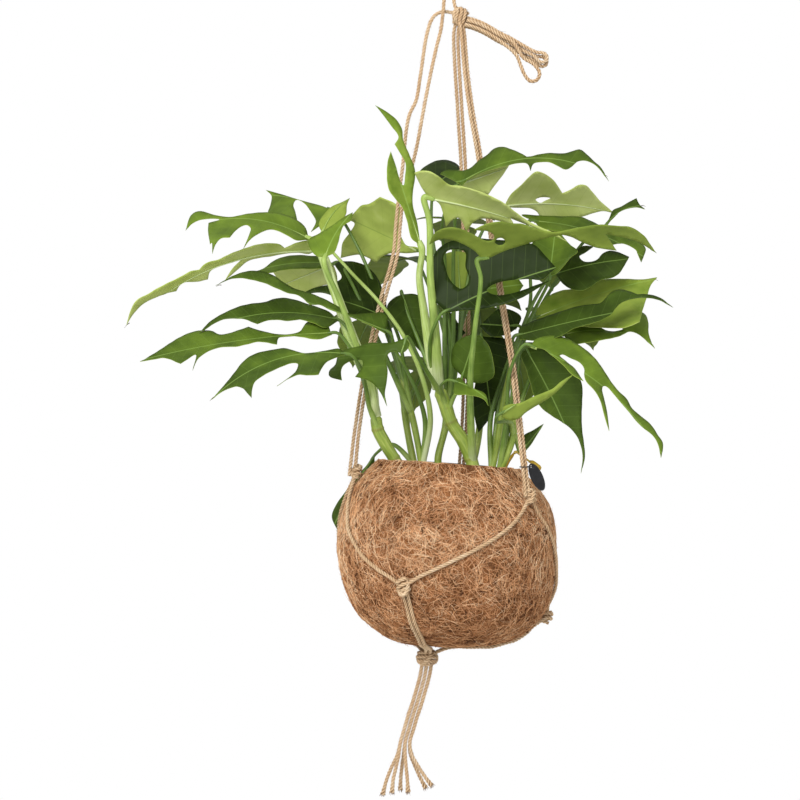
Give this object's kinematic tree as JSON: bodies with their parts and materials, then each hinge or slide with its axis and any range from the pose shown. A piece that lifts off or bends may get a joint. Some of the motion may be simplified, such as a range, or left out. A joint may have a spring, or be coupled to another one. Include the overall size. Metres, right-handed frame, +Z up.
{
  "type": "hanging house plant in a coir-fibre pot",
  "caption": "Split-leaf climbing plant in a round coir-fibre pot, hung in a knotted jute cord hanger that ends in a loop for a hook.",
  "frame": {"origin": "the place on the underside of the hanging loop's turn where a hook bears", "axes": "+Z up, towards the hook; -Y towards the front, which the picture shows; +X to the viewer's right"},
  "size_m": [0.4921, 0.3518, 0.7318],
  "materials": {
    "coir": "matte",
    "jute": "matte",
    "leaf": "satin",
    "withered_leaf": "satin",
    "soil": "matte",
    "nursery_pot": "satin",
    "label": "gloss",
    "label_tie": "satin"
  },
  "bodies": {
    "root": {"coir_pot": "coir", "grow_pot": "nursery_pot", "soil": "soil", "withered_leaf": "withered_leaf", "plant_label": "label", "label_tie": "label_tie", "top_knot": "jute", "upper_knot_left": "jute", "upper_knot_right": "jute", "upper_knot_back": "jute", "lower_knot_front": "jute", "lower_knot_right": "jute", "lower_knot_left": "jute", "bottom_knot": "jute", "hanging_loop": "jute", "leg_cord_left_outer": "jute", "leg_cord_left_inner": "jute", "leg_cord_back_1": "jute", "leg_cord_back_2": "jute", "leg_cord_right_1": "jute", "leg_cord_right_2": "jute", "upper_sling_left_front": "jute", "upper_sling_left_back": "jute", "upper_sling_right_front": "jute", "upper_sling_right_back": "jute", "upper_sling_back_left": "jute", "upper_sling_back_right": "jute", "lower_sling_front_1": "jute", "lower_sling_front_2": "jute", "lower_sling_right_1": "jute", "lower_sling_right_2": "jute", "lower_sling_left_1": "jute", "lower_sling_left_2": "jute", "tail_loop_1": "jute", "tail_loop_2": "jute", "tail_loop_3": "jute", "tassel_cord_1": "jute", "tassel_cord_2": "jute", "tassel_cord_3": "jute", "tassel_cord_4": "jute", "tassel_cord_5": "jute", "tassel_cord_6": "jute", "leafy_stem_left": "leaf", "leafy_stem_slim": "leaf", "leafy_stem_middle": "leaf", "leafy_stem_behind": "leaf", "leafy_stem_right": "leaf", "leafy_stem_far_right": "leaf", "leafy_stem_back_left": "leaf", "leafy_stem_back_right": "leaf"}
  },
  "joints": []
}
